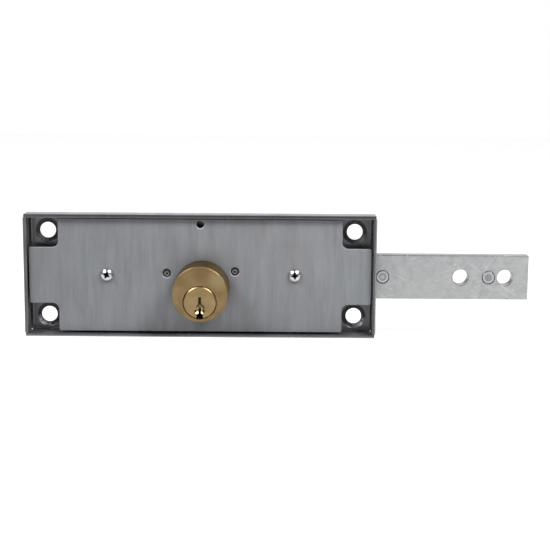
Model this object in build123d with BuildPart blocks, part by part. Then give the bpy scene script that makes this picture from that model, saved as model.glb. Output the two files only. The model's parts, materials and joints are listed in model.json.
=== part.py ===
from build123d import *
import os
from math import atan, ceil, cos, pi, radians, sin, sqrt, tan

# Roller shutter lock: a folded steel case with a cover, a brass pin tumbler cylinder
# and a long flat bolt. The key turns a pinion, and the pinion drives a rack on the bolt.
#
# Millimetres. The origin is at the centre of the four mounting holes, on the back face
# of the case. +X runs along the bolt, +Y points into the shutter and +Z is up.
# A level is a distance in front of the back face, so it lies at y = -level.

# Case, one folded sheet
case_length = 155.0
case_height = 54.4
sheet = 1.5
bend_radius = 2.5
rim_roll = 0.8
corner_gap = 0.2
corner_step = 0.5
hole_inset_x = 9.2
hole_inset_z = 8.2
mounting_hole_diameter = 7.0
mounting_cone_diameter = 11.0
mounting_cone_angle = 118.0

# Cover plate
cover_thickness = 1.5
cover_recess = 2.0
cover_gap = 0.65
cover_rise = 0.2
cover_edge = 0.2
pocket_reach_x = 5.9
pocket_reach_z = 6.55
pocket_corner_radius = 2.75
cover_tip_radius = 0.8
spare_hole_diameter = 3.3
spare_hole_inset = 2.35

# Bolt, a flat bar
bolt_width = 19.7
bolt_thickness = 6.0
bolt_edge_radius = 0.5
bolt_end_chamfer = 0.2
bolt_reach = 67.2
bolt_side_gap = 0.5
bolt_tail_gap = 0.9
window_gap = 0.2
end_hole_diameter = 7.0
end_hole_inset = 10.2
end_hole_pitch = 19.6
bolt_pin_diameter = 5.6
end_pin_inset = 17.5
pin_proud = 0.15
pin_chamfer = 0.25
hole_edge = 0.2
hole_edge_angle = 90.0
stop_gap = 0.1

# Pillars, cover screws and guide studs
pillar_places = {"left": (-41.1, 0.4), "right": (41.6, 0.6)}
pillar_diameter = 5.0
pillar_tenon_diameter = 3.4
thread_diameter = 3.0
thread_depth = 5.0
cover_screw_head_diameter = 5.8
cover_screw_head_height = 2.1
cover_screw_rim_height = 0.6
cross_width = 3.1
cross_slot = 0.9
cross_depth = 1.2
cross_taper = 12.0
cross_core_diameter = 2.0
cross_core_depth = 1.6
cross_core_taper = 20.0
cross_turns = {"left": -24.0, "right": 4.0}
stud_places = {"left": (-14.7, 1.2), "right": (15.2, 2.1)}
stud_diameter = 3.5
stud_head_diameter = 2.4
stud_ring_depth = 0.45
stud_dimple_diameter = 0.9
stud_dimple_depth = 0.3
slot_gap = 0.1

# Lock cylinder
cylinder_x = 0.8
cylinder_z = -5.1
plug_diameter = 14.0
plug_wall = 1.44
plug_gap = 0.05
plug_back_gap = 0.2
body_chamfer_run = 0.3
body_chamfer_rise = 0.2
plug_chamfer_run = 0.45
plug_chamfer_rise = 0.3
foot_chamfer = 0.45
cylinder_screw_inset = 3.2
cylinder_screw_angle = 40.0
cylinder_screw_head_diameter = 5.4
cylinder_screw_cone_angle = 90.0
cylinder_screw_depth = 6.0

# Keyway in the plug
keyway_top = 2.5
keyway_width = 1.15
keyway_foot_width = 2.8
keyway_foot_top = 4.8
keyway_end_wall = 0.8
key_entry_drop = 2.8
key_entry_diameter = 5.0
key_entry_depth = 0.9
key_entry_taper = 50.0

# Pin stacks
pin_diameter = 2.6
pin_gap = 0.05
pin_pitch = 3.2
first_pin_depth = 3.6
last_pin_inset = 1.9
key_pin_lengths = [10.0, 7.9, 8.9, 7.4, 8.4]
key_pin_tip_run = 0.9
key_pin_tip_rise = 1.3
key_pin_recess = 0.2
chamber_floor = 3.9
driver_length = 3.0
driver_lift = 0.1
driver_chamfer = 0.2
chamber_plug_diameter = 3.1
chamber_plug_thickness = 1.6
spring_length = 3.86
spring_wire = 0.3
spring_play = 0.2
spring_turns = 2.25

# Pinion on the tail of the plug, and the rack on the bolt
gear_module = 1.0
pinion_teeth = 9
pressure_angle = 25.0
addendum_factor = 0.8
dedendum_factor = 1.0
backlash = 0.1
tail_diameter = 5.0
tail_flats = 4.0
tail_gap = 0.05
pinion_gap = 0.3
washer_diameter = 6.0
washer_thickness = 0.5
pinion_screw_thread = 2.4
pinion_screw_head_diameter = 4.4
pinion_screw_head_height = 1.4
pinion_screw_rim = 0.3
pinion_screw_depth = 3.5
drive_slot_width = 0.6
drive_slot_depth = 0.7

# A fixed part in its hole keeps this small radial gap
fit_gap = 0.02

# The cylinder body is as wide as the plug with a pin chamber above it, and as deep as
# its row of pins.
chamber_height = driver_lift + driver_length + spring_length + chamber_plug_thickness
cylinder_diameter = plug_wall + plug_diameter + chamber_height
cylinder_height = first_pin_depth + (len(key_pin_lengths) - 1) * pin_pitch + last_pin_inset

# Levels in front of the back face
bolt_level = sheet + bolt_side_gap
cover_level = bolt_level + bolt_thickness + bolt_side_gap
cover_front = cover_level + cover_thickness
case_depth = cover_front + cover_recess
cylinder_front = cover_front + cylinder_height
plug_back = cover_front + plug_back_gap
pinion_back = sheet + pinion_gap + pinion_screw_head_height + washer_thickness
pinion_front = cover_level - pinion_gap

# Lengths and places that follow from the driving sizes
corner_relief = sheet + corner_gap
rim_radius = rim_roll * sheet
inner_length = case_length - 2 * sheet
inner_height = case_height - 2 * sheet
hole_pitch_x = case_length - 2 * hole_inset_x
hole_pitch_z = case_height - 2 * hole_inset_z
cover_length = inner_length - 2 * cover_gap
cover_height = inner_height - 2 * cover_gap
bolt_front = bolt_level + bolt_thickness
cylinder_radius = cylinder_diameter / 2
cylinder_screw_radius = cylinder_radius - cylinder_screw_inset
plug_radius = plug_diameter / 2
plug_z = cylinder_z - (cylinder_radius - plug_radius - plug_wall)
cylinder_top = cylinder_z + cylinder_radius
pin_radius = pin_diameter / 2
pin_levels = [cylinder_front - first_pin_depth - i * pin_pitch for i in range(len(key_pin_lengths))]
driver_bottom = plug_z + plug_radius + driver_lift
chamber_plug_bottom = cylinder_top - chamber_plug_thickness

pitch_radius = gear_module * pinion_teeth / 2
base_radius = pitch_radius * cos(radians(pressure_angle))
tip_radius = pitch_radius + addendum_factor * gear_module
root_radius = pitch_radius - dedendum_factor * gear_module
tooth_pitch = pi * gear_module
tooth_thickness = tooth_pitch / 2 - backlash
travel = 2 * pi * pitch_radius
rack_line = plug_z + pitch_radius
rack_root = rack_line + dedendum_factor * gear_module
rack_tip = rack_line - addendum_factor * gear_module

bolt_right = case_length / 2 + bolt_reach
bolt_left = pillar_places["left"][0] + pillar_diameter / 2 + bolt_tail_gap
stop_pin_x = case_length / 2 + bolt_pin_diameter / 2 + stop_gap
end_pin_x = bolt_right - end_pin_inset

dome_height = cover_screw_head_height - cover_screw_rim_height
dome_radius = (dome_height**2 + (cover_screw_head_diameter / 2) ** 2) / (2 * dome_height)
guide_bottom = min(z for x, z in stud_places.values()) - stud_diameter / 2 - slot_gap
guide_top = max(z for x, z in stud_places.values()) + stud_diameter / 2 + slot_gap

SIDES = {"left": -1, "right": 1}
pieces = {}


def front(level):
    """Plane that faces the viewer at a level, with x along +X and y along +Z."""
    return Plane.XZ.offset(level)


def behind(level):
    """Plane that faces the shutter at a level, with x along -X and y along +Z."""
    return Plane(origin=(0, -level, 0), x_dir=(-1, 0, 0), z_dir=(0, 1, 0))


def cylinder_screw_place(side):
    """Place of a screw that holds the lock cylinder, as x and z."""
    turn = radians(cylinder_screw_angle)
    x = cylinder_x + SIDES[side] * cylinder_screw_radius * cos(turn)
    return x, cylinder_z + cylinder_screw_radius * sin(turn)


def double_flat(gap):
    """Section of the plug's flatted tail or, with a gap, of the bore that takes it."""
    with BuildSketch() as section:
        Circle(tail_diameter / 2 + gap)
        Rectangle(tail_flats + 2 * gap, tail_diameter + 2 * gap, mode=Mode.INTERSECT)
    return section.sketch


# The hollow of the case has the bends' inner radius along its back edges.
with BuildPart() as case_hollow:
    with BuildSketch(front(sheet)):
        Rectangle(inner_length, inner_height)
    extrude(amount=case_depth)
    fillet(case_hollow.faces().sort_by(Axis.Y)[-1].edges(), bend_radius - sheet)

# The case is a tray that is open to the front. The long walls run almost to the corners
# and the short walls fit between them, with a square relief where the bends meet. The
# outer edge of the rim is rolled over most of the sheet, as shears leave it.
with BuildPart() as case:
    with BuildSketch(front(0)):
        Rectangle(case_length, case_height)
    extrude(amount=case_depth)
    fillet(case.faces().sort_by(Axis.Y)[-1].edges(), bend_radius)
    add(case_hollow.part, mode=Mode.SUBTRACT)
    with BuildSketch(front(0)):
        with GridLocations(case_length, case_height, 2, 2):
            Rectangle(2 * corner_relief, 2 * corner_relief)
    extrude(amount=bend_radius, mode=Mode.SUBTRACT)
    with BuildSketch(front(bend_radius)):
        with GridLocations(case_length, inner_height - corner_gap, 2, 2):
            Rectangle(2 * sheet, corner_gap)
        with GridLocations(case_length, case_height, 2, 2):
            Rectangle(2 * corner_step, 2 * sheet)
    extrude(amount=case_depth, mode=Mode.SUBTRACT)
    rim = case.edges().group_by(Axis.Y)[0]
    long_rims = rim.filter_by(Axis.X).sort_by(Axis.Z)
    short_rims = rim.filter_by(Axis.Z).sort_by(Axis.X)
    fillet([long_rims[0], long_rims[-1], short_rims[0], short_rims[-1]], rim_radius)
    with Locations(front(sheet)):
        with GridLocations(hole_pitch_x, hole_pitch_z, 2, 2):
            CounterSinkHole(
                mounting_hole_diameter / 2,
                mounting_cone_diameter / 2,
                counter_sink_angle=mounting_cone_angle,
            )
        with Locations(*pillar_places.values()):
            Hole(pillar_tenon_diameter / 2 + fit_gap)
    # Window for the bolt in the right wall
    with BuildSketch(Plane.YZ.offset(inner_length / 2 - bend_radius)):
        with Locations((-bolt_level - bolt_thickness / 2, 0)):
            RectangleRounded(
                bolt_thickness + 2 * window_gap,
                bolt_width + 2 * window_gap,
                bolt_edge_radius + window_gap,
            )
    extrude(amount=2 * bend_radius + sheet, mode=Mode.SUBTRACT)
pieces["case"] = case.part

# The cover lies on the pillars. Its notched corners leave the mounting holes free, and
# the edges on its front side are broken.
with BuildPart() as cover_plate:
    with BuildSketch(front(cover_level)) as cover_outline:
        with Locations((0, cover_rise)):
            Rectangle(cover_length, cover_height)
        with GridLocations(case_length, case_height, 2, 2):
            Rectangle(
                case_length - hole_pitch_x + 2 * pocket_reach_x,
                case_height - hole_pitch_z + 2 * pocket_reach_z,
                mode=Mode.SUBTRACT,
            )
        fillet(cover_outline.vertices().sort_by_distance((0, 0))[4:], cover_tip_radius)
        fillet(cover_outline.vertices().sort_by_distance((0, 0))[:4], pocket_corner_radius)
    extrude(amount=cover_thickness)
    with Locations(front(cover_front)):
        with Locations(*stud_places.values()):
            Hole(stud_diameter / 2 + fit_gap)
        with Locations((0, cover_rise + cover_height / 2 - spare_hole_inset)):
            Hole(spare_hole_diameter / 2)
    chamfer(cover_plate.faces().sort_by(Axis.Y)[0].edges(), cover_edge)
    with Locations(front(cover_front)):
        with Locations(*pillar_places.values()):
            Hole(thread_diameter / 2 + 2 * slot_gap)
        with Locations((cylinder_x, plug_z)):
            Hole(tail_diameter / 2 + slot_gap)
    with Locations(behind(cover_level)):
        for side in SIDES:
            screw_x, screw_z = cylinder_screw_place(side)
            with Locations((-screw_x, screw_z)):
                CounterSinkHole(
                    thread_diameter / 2 + slot_gap,
                    cylinder_screw_head_diameter / 2 + slot_gap,
                    counter_sink_angle=cylinder_screw_cone_angle,
                )
pieces["cover_plate"] = cover_plate.part

# Two pillars stand on the floor, each with its tenon riveted flush at the back. The
# bolt's slot leaves the right one free. A cross-head screw enters each.
for side, pillar_place in pillar_places.items():
    with BuildPart() as cover_pillar:
        with BuildSketch(front(sheet)):
            with Locations(pillar_place):
                Circle(pillar_diameter / 2)
        extrude(amount=cover_level - sheet)
        with BuildSketch(front(0)):
            with Locations(pillar_place):
                Circle(pillar_tenon_diameter / 2)
        extrude(amount=sheet)
        with Locations(front(cover_level)):
            with Locations(pillar_place):
                Hole(thread_diameter / 2, depth=thread_depth + 2 * slot_gap)
    pieces[f"cover_pillar_{side}"] = cover_pillar.part

    # The domed head is turned from a half section, whose y runs along the screw's axis.
    pillar_x, pillar_z = pillar_place
    head_plane = Plane(origin=(pillar_x, -cover_front, pillar_z), x_dir=(1, 0, 0), z_dir=(0, 0, -1))
    cross_place = Location((pillar_x, pillar_z), cross_turns[side])
    with BuildPart() as cover_screw:
        with BuildSketch(head_plane):
            with BuildLine():
                dome = RadiusArc(
                    (0, cover_screw_head_height),
                    (cover_screw_head_diameter / 2, cover_screw_rim_height),
                    dome_radius,
                )
                Polyline(dome @ 1, (cover_screw_head_diameter / 2, 0), (0, 0), dome @ 0)
            make_face()
        revolve(axis=Axis((pillar_x, 0, pillar_z), (0, 1, 0)))
        with BuildSketch(front(cover_front + cover_screw_head_height)):
            with Locations(cross_place):
                Rectangle(cross_width, cross_slot)
                Rectangle(cross_slot, cross_width)
        extrude(amount=-cross_depth, taper=cross_taper, mode=Mode.SUBTRACT)
        with BuildSketch(front(cover_front + cover_screw_head_height)):
            with Locations(cross_place):
                Circle(cross_core_diameter / 2)
        extrude(amount=-cross_core_depth, taper=cross_core_taper, mode=Mode.SUBTRACT)
        with BuildSketch(front(cover_level - thread_depth)):
            with Locations(pillar_place):
                Circle(thread_diameter / 2 - fit_gap)
        extrude(amount=thread_depth + cover_thickness)
    pieces[f"cover_screw_{side}"] = cover_screw.part

# A stud riveted in the cover on each side of the pinion guides the bolt and keeps the
# rack in mesh: the left one bears on the lower edge of the bolt's slot and the right one
# on its upper edge. Each shows a small riveted head inside a ring.
for side, stud_place in stud_places.items():
    with BuildPart() as guide_stud:
        with BuildSketch(front(bolt_level)):
            with Locations(stud_place):
                Circle(stud_diameter / 2)
        extrude(amount=cover_front - stud_ring_depth - bolt_level)
        with BuildSketch(front(cover_front - stud_ring_depth)):
            with Locations(stud_place):
                Circle(stud_head_diameter / 2)
        extrude(amount=stud_ring_depth)
        with Locations(front(cover_front)):
            with Locations(stud_place):
                Hole(stud_dimple_diameter / 2, depth=stud_dimple_depth)
    pieces[f"guide_stud_{side}"] = guide_stud.part

# The bolt is one flat bar. Inside the case one long slot, open at the bolt's tail, takes
# the studs and then the right pillar, and below it the rack stands over the pinion.
rack_end = cylinder_x + tip_radius + 2 * gear_module
first_tooth = cylinder_x + tooth_pitch / 2
tooth_count = ceil((travel + 2 * tip_radius) / tooth_pitch)
tooth_places = [(first_tooth + (1 - i) * tooth_pitch, rack_line) for i in range(tooth_count)]
rack_slope = tan(radians(pressure_angle))
tip_half = tooth_thickness / 2 - (rack_line - rack_tip) * rack_slope
root_half = tooth_thickness / 2 + (rack_root - rack_line) * rack_slope
with BuildSketch() as rack_tooth:
    with BuildLine():
        Polyline(
            (-root_half, rack_root - rack_line),
            (-tip_half, rack_tip - rack_line),
            (tip_half, rack_tip - rack_line),
            (root_half, rack_root - rack_line),
            close=True,
        )
    make_face()
with BuildPart() as bolt:
    with BuildSketch(front(bolt_level)):
        with Locations(((bolt_left + bolt_right) / 2, 0)):
            Rectangle(bolt_right - bolt_left, bolt_width)
    extrude(amount=bolt_thickness)
    fillet(bolt.edges().filter_by(Axis.X), bolt_edge_radius)
    chamfer(bolt.faces().sort_by(Axis.X)[-1].edges(), bolt_end_chamfer)
    with BuildSketch(front(bolt_level)):
        with Locations((rack_end, rack_root)):
            Rectangle(
                rack_end - bolt_left + bolt_tail_gap,
                bolt_width,
                align=(Align.MAX, Align.MAX),
            )
        with Locations((pillar_places["right"][0] - travel / 2, pillar_places["right"][1])):
            SlotCenterToCenter(travel, pillar_diameter + 2 * slot_gap)
        fork_end = stud_places["right"][0]
        fork_length = fork_end - bolt_left + stud_diameter
        with Locations((fork_end - fork_length / 2, (guide_bottom + guide_top) / 2)):
            SlotCenterToCenter(fork_length, guide_top - guide_bottom)
    extrude(amount=bolt_thickness, mode=Mode.SUBTRACT)
    with Locations(front(bolt_front)):
        with Locations((bolt_right - end_hole_inset, 0), (bolt_right - end_hole_inset - end_hole_pitch, 0)):
            CounterSinkHole(
                end_hole_diameter / 2,
                end_hole_diameter / 2 + hole_edge,
                counter_sink_angle=hole_edge_angle,
            )
        with Locations((stop_pin_x, 0), (end_pin_x, 0)):
            CounterSinkHole(
                bolt_pin_diameter / 2 + fit_gap,
                bolt_pin_diameter / 2 + fit_gap + hole_edge,
                counter_sink_angle=hole_edge_angle,
            )
    with BuildSketch(front(bolt_level)):
        with Locations(*tooth_places):
            add(rack_tooth.sketch)
    extrude(amount=bolt_thickness)
pieces["bolt"] = bolt.part

# Round pins through the bolt: the first stops it at the case wall when it is drawn in.
for name, pin_x in {"bolt_stop_pin": stop_pin_x, "bolt_end_pin": end_pin_x}.items():
    with BuildPart() as bolt_pin:
        with BuildSketch(front(bolt_level)):
            with Locations((pin_x, 0)):
                Circle(bolt_pin_diameter / 2)
        extrude(amount=bolt_thickness + pin_proud)
        chamfer(bolt_pin.faces().sort_by(Axis.Y)[0].edges(), pin_chamfer)
    pieces[name] = bolt_pin.part

# Cylinder body: a round brass housing with an off-centre bore for the plug, a row of
# pin chambers above it, and two threaded holes at the back.
with BuildPart() as cylinder_body:
    with BuildSketch(front(cover_front)):
        with Locations((cylinder_x, cylinder_z)):
            Circle(cylinder_radius)
        with Locations((cylinder_x, plug_z)):
            Circle(plug_radius + plug_gap, mode=Mode.SUBTRACT)
    extrude(amount=cylinder_height)
    body_face = cylinder_body.faces().sort_by(Axis.Y)[0]
    chamfer(body_face.edges(), body_chamfer_run, body_chamfer_rise, reference=body_face)
    chamfer(cylinder_body.edges().group_by(Axis.Y)[-1].sort_by(SortBy.RADIUS)[-1], foot_chamfer)
    with BuildSketch(Plane.XY.offset(plug_z)):
        with Locations(*[(cylinder_x, -level) for level in pin_levels]):
            Circle(pin_radius + pin_gap)
    extrude(amount=2 * cylinder_radius, mode=Mode.SUBTRACT)
    with BuildSketch(Plane.XY.offset(chamber_plug_bottom)):
        with Locations(*[(cylinder_x, -level) for level in pin_levels]):
            Circle(chamber_plug_diameter / 2 + fit_gap)
    extrude(amount=2 * chamber_plug_thickness, mode=Mode.SUBTRACT)
    with Locations(behind(cover_front)):
        for side in SIDES:
            screw_x, screw_z = cylinder_screw_place(side)
            with Locations((-screw_x, screw_z)):
                Hole(thread_diameter / 2, depth=cylinder_screw_depth + 2 * slot_gap)
pieces["cylinder_body"] = cylinder_body.part

# Countersunk screws come from inside the cover into the cylinder body.
for side in SIDES:
    screw_x, screw_z = cylinder_screw_place(side)
    cone_slope = tan(radians(cylinder_screw_cone_angle / 2))
    cone_height = (cylinder_screw_head_diameter - thread_diameter) / 2 / cone_slope
    with BuildPart() as cylinder_screw:
        with BuildSketch(front(cover_level)):
            with Locations((screw_x, screw_z)):
                Circle(cylinder_screw_head_diameter / 2)
        extrude(amount=cone_height, taper=cylinder_screw_cone_angle / 2)
        with BuildSketch(front(cover_level)):
            with Locations((screw_x, screw_z)):
                Circle(thread_diameter / 2 - fit_gap)
        extrude(amount=cover_thickness + cylinder_screw_depth)
        with BuildSketch(front(cover_level)):
            with Locations((screw_x, screw_z)):
                Rectangle(cylinder_screw_head_diameter, drive_slot_width)
        extrude(amount=drive_slot_depth, mode=Mode.SUBTRACT)
    pieces[f"cylinder_screw_{side}"] = cylinder_screw.part

# Plug: it turns in the body, and its flatted tail carries the pinion behind the cover.
tail_section = double_flat(0)
pinion_bore = double_flat(tail_gap)
with BuildPart() as cylinder_plug:
    with BuildSketch(front(plug_back)):
        with Locations((cylinder_x, plug_z)):
            Circle(plug_radius)
    extrude(amount=cylinder_front - plug_back)
    plug_face = cylinder_plug.faces().sort_by(Axis.Y)[0]
    chamfer(plug_face.edges(), plug_chamfer_run, plug_chamfer_rise, reference=plug_face)
    with BuildSketch(front(plug_back + keyway_end_wall)):
        with Locations((cylinder_x, plug_z + keyway_top)):
            Rectangle(keyway_width, keyway_top + plug_diameter, align=(Align.CENTER, Align.MAX))
        with Locations((cylinder_x, plug_z - keyway_foot_top)):
            Rectangle(keyway_foot_width, plug_radius, align=(Align.CENTER, Align.MAX))
    extrude(amount=cylinder_height, mode=Mode.SUBTRACT)
    with BuildSketch(front(cylinder_front)):
        with Locations((cylinder_x, plug_z - key_entry_drop)):
            Circle(key_entry_diameter / 2)
    extrude(amount=-key_entry_depth, taper=key_entry_taper, mode=Mode.SUBTRACT)
    with BuildSketch(Plane.XY.offset(plug_z - chamber_floor)):
        with Locations(*[(cylinder_x, -level) for level in pin_levels]):
            Circle(pin_radius + pin_gap)
    extrude(amount=plug_diameter, mode=Mode.SUBTRACT)
    with BuildSketch(front(pinion_back)):
        with Locations((cylinder_x, plug_z)):
            add(tail_section)
    extrude(amount=pinion_front - pinion_back)
    with BuildSketch(front(pinion_front)):
        with Locations((cylinder_x, plug_z)):
            Circle(tail_diameter / 2)
    extrude(amount=plug_back - pinion_front)
    with Locations(behind(pinion_back)):
        with Locations((-cylinder_x, plug_z)):
            Hole(pinion_screw_thread / 2 + fit_gap, depth=pinion_screw_depth + slot_gap)
pieces["cylinder_plug"] = cylinder_plug.part


def flank_point(radius, side):
    """Point of a pinion tooth's involute flank at a radius, for a tooth along +Y."""
    roll = sqrt(max((radius / base_radius) ** 2 - 1, 0))
    pitch_roll = tan(radians(pressure_angle))
    at_pitch = tooth_thickness / (2 * pitch_radius)
    half_angle = at_pitch + (pitch_roll - atan(pitch_roll)) - (roll - atan(roll))
    return side * radius * sin(half_angle), radius * cos(half_angle)


# Pinion with involute teeth, one of them straight up into a gap of the rack
flank_radii = [base_radius + (tip_radius - base_radius) * step / 4 for step in range(5)]
with BuildSketch() as pinion_tooth:
    with BuildLine():
        right = Spline(*[flank_point(radius, 1) for radius in flank_radii])
        left = Spline(*[flank_point(radius, -1) for radius in flank_radii])
        ThreePointArc(right @ 1, (0, tip_radius), left @ 1)
        Polyline(right @ 0, (0, 0), left @ 0)
    make_face()
with BuildPart() as drive_pinion:
    with BuildSketch(front(pinion_back)):
        with Locations((cylinder_x, plug_z)):
            Circle(root_radius)
            with PolarLocations(0, pinion_teeth):
                add(pinion_tooth.sketch)
            add(pinion_bore, mode=Mode.SUBTRACT)
    extrude(amount=pinion_front - pinion_back)
pieces["drive_pinion"] = drive_pinion.part

with BuildPart() as pinion_washer:
    with BuildSketch(front(pinion_back - washer_thickness)):
        with Locations((cylinder_x, plug_z)):
            Circle(washer_diameter / 2)
            Circle(pinion_screw_thread / 2 + slot_gap, mode=Mode.SUBTRACT)
    extrude(amount=washer_thickness)
pieces["pinion_washer"] = pinion_washer.part

with BuildPart() as pinion_screw:
    with BuildSketch(front(pinion_back - washer_thickness - pinion_screw_head_height)):
        with Locations((cylinder_x, plug_z)):
            Circle(pinion_screw_head_diameter / 2)
    extrude(amount=pinion_screw_head_height)
    chamfer(pinion_screw.faces().sort_by(Axis.Y)[-1].edges(), pinion_screw_rim)
    with BuildSketch(front(pinion_back - washer_thickness)):
        with Locations((cylinder_x, plug_z)):
            Circle(pinion_screw_thread / 2)
    extrude(amount=washer_thickness + pinion_screw_depth)
    with BuildSketch(front(pinion_back - washer_thickness - pinion_screw_head_height)):
        with Locations((cylinder_x, plug_z)):
            Rectangle(pinion_screw_head_diameter, drive_slot_width)
    extrude(amount=drive_slot_depth, mode=Mode.SUBTRACT)
pieces["pinion_screw"] = pinion_screw.part

# Pin stacks, as they stand with the right key in: key pins in the plug, driver pins and
# springs of square wire above them in the body, and a brass plug that closes each chamber.
spring_radius = pin_radius - spring_play / 2 - spring_wire / 2
for number, (level, key_pin_length) in enumerate(zip(pin_levels, key_pin_lengths), start=1):
    key_pin_top = plug_z + plug_radius - key_pin_recess
    with BuildPart() as key_pin:
        with BuildSketch(Plane.XY.offset(key_pin_top - key_pin_length)):
            with Locations((cylinder_x, -level)):
                Circle(pin_radius)
        extrude(amount=key_pin_length)
        tip_face = key_pin.faces().sort_by(Axis.Z)[0]
        chamfer(tip_face.edges(), key_pin_tip_run, key_pin_tip_rise, reference=tip_face)
    pieces[f"key_pin_{number}"] = key_pin.part

    with BuildPart() as driver_pin:
        with BuildSketch(Plane.XY.offset(driver_bottom)):
            with Locations((cylinder_x, -level)):
                Circle(pin_radius)
        extrude(amount=driver_length)
        chamfer(driver_pin.faces().sort_by(Axis.Z)[0].edges(), driver_chamfer)
    pieces[f"driver_pin_{number}"] = driver_pin.part

    coil_bottom = driver_bottom + driver_length + spring_wire / 2
    coil_height = chamber_plug_bottom - spring_wire / 2 - coil_bottom
    with BuildPart() as pin_spring:
        with BuildLine() as coil:
            Helix(
                coil_height / spring_turns,
                coil_height,
                spring_radius,
                center=(cylinder_x, -level, coil_bottom),
            )
        with BuildSketch(Plane(origin=coil.line @ 0, z_dir=coil.line % 0)):
            Rectangle(spring_wire, spring_wire)
        sweep(is_frenet=True)
    pieces[f"pin_spring_{number}"] = pin_spring.part

    with BuildPart() as chamber_plug:
        with BuildSketch(Plane.XY.offset(chamber_plug_bottom)):
            with Locations((cylinder_x, -level)):
                Circle(chamber_plug_diameter / 2)
        extrude(amount=2 * chamber_plug_thickness)
        with BuildSketch(front(cover_front)):
            with Locations((cylinder_x, cylinder_z)):
                Circle(cylinder_radius)
        extrude(amount=cylinder_height, mode=Mode.INTERSECT)
    pieces[f"chamber_plug_{number}"] = chamber_plug.part

os.makedirs("parts", exist_ok=True)
for name, piece in pieces.items():
    piece.label = name
    export_step(piece, f"parts/{name}.step")
print(f"{len(pieces)} pieces, bolt travel {travel:.2f} mm")
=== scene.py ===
import bpy
import json
from math import cos, radians, sin
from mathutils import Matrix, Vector

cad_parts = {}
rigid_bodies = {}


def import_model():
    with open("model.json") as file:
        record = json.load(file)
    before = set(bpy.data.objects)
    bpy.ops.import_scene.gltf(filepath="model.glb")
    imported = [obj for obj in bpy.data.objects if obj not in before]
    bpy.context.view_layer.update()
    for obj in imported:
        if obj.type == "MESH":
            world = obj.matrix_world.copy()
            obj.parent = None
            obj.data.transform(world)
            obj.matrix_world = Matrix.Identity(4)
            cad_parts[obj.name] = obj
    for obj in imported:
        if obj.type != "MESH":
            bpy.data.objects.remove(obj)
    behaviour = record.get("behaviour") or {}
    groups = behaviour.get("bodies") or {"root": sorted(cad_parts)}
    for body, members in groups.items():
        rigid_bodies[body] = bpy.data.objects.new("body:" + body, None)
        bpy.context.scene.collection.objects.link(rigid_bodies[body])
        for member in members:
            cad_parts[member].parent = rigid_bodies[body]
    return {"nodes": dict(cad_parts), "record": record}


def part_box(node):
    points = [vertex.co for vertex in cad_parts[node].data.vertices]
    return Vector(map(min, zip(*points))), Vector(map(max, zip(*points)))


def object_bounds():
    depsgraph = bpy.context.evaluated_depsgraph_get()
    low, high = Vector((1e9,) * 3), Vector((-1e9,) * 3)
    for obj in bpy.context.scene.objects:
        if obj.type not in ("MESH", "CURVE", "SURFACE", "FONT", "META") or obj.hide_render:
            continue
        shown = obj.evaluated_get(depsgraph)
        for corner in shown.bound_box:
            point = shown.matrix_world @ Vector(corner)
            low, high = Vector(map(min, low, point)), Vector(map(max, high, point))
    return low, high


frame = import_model()
cad_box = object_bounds()
nodes = frame["nodes"]

# Lengths here are metres. MM turns a size in millimetres into metres.
MM = 0.001

# Light: levels of the world, where 1 is white
AMBIENT_LEVEL = 0.14
ROOM_LEVEL = 0.30
CEILING_LEVEL = 0.10

# Light: each softbox with its place in metres and its power in watts, and the width of both
SOFTBOXES = {
    "softbox_left": ((-0.60, -0.50, 0.76), 10.0),
    "softbox_right": ((0.58, -0.50, 0.77), 12.2),
}
SOFTBOX_WIDTH = 0.45

# Floor: its width in metres, the light it throws back, and its shade and glow where it is seen
FLOOR_WIDTH = 4.0
FLOOR_BOUNCE = 0.5
FLOOR_SHADE = 0.3
FLOOR_GLOW = 0.92

# Camera, as fitted to the photo: it looks a little down on the lock from the front. The lens is
# the only length here in millimetres.
CAMERA_AIM = Vector((32.9 * MM, -12.0 * MM, 1.1 * MM))
CAMERA_DISTANCE = 552.0 * MM
CAMERA_TILT = radians(8.85)
CAMERA_ROLL = radians(0.41)
CAMERA_LENS = 82.4
CAMERA_NEAR = 10.0 * MM


# Places and sizes of the pieces, from the frame

def axis_of(name):
    """Axis of a round piece that runs along Y, as x and z."""
    low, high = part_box(name)
    return (low.x + high.x) / 2, (low.z + high.z) / 2


def radius_of(name):
    """Radius of a round piece that runs along Y."""
    low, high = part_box(name)
    return max(high.x - low.x, high.z - low.z) / 2


def front_of(name):
    """The Y of a piece's front, which faces the camera."""
    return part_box(name)[0].y


CASE_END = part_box("case")[1].x
CASE_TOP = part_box("case")[1].z
COVER_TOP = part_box("cover_plate")[1].z
BODY_AXIS = axis_of("cylinder_body")
BODY_RADIUS = radius_of("cylinder_body")
PLUG_AXIS = axis_of("cylinder_plug")
PLUG_RADIUS = radius_of("cylinder_plug")
SCREWS = ("cover_screw_left", "cover_screw_right")
STUDS = ("guide_stud_left", "guide_stud_right")

# The brass: its rounded edge, the cone where the key goes in below the plug's axis, and two soft
# spots of painted reflection, one dark and one light, on the face of the body, as x and z
BRASS_EDGE = 0.35 * MM
KEY_ENTRY_AXIS = (PLUG_AXIS[0], PLUG_AXIS[1] - 2.8 * MM)
KEY_ENTRY_RADIUS = 2.5 * MM
DARK_REFLECTION_SPOT = (1.8 * MM, 4.4 * MM)
LIGHT_REFLECTION_SPOT = (9.0 * MM, 0.8 * MM)
SPOT_CORE = 2.0 * MM
SPOT_REACH = 5.5 * MM

# Reach of the painted shade in recesses round an axis in the fronts of small parts, and of the
# painted light on the tips of the key pins
CROSS_REACH = 1.6 * MM
STUD_REACH = 1.6 * MM
KEY_PIN_LIT_TIP = 2.2 * MM

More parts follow.
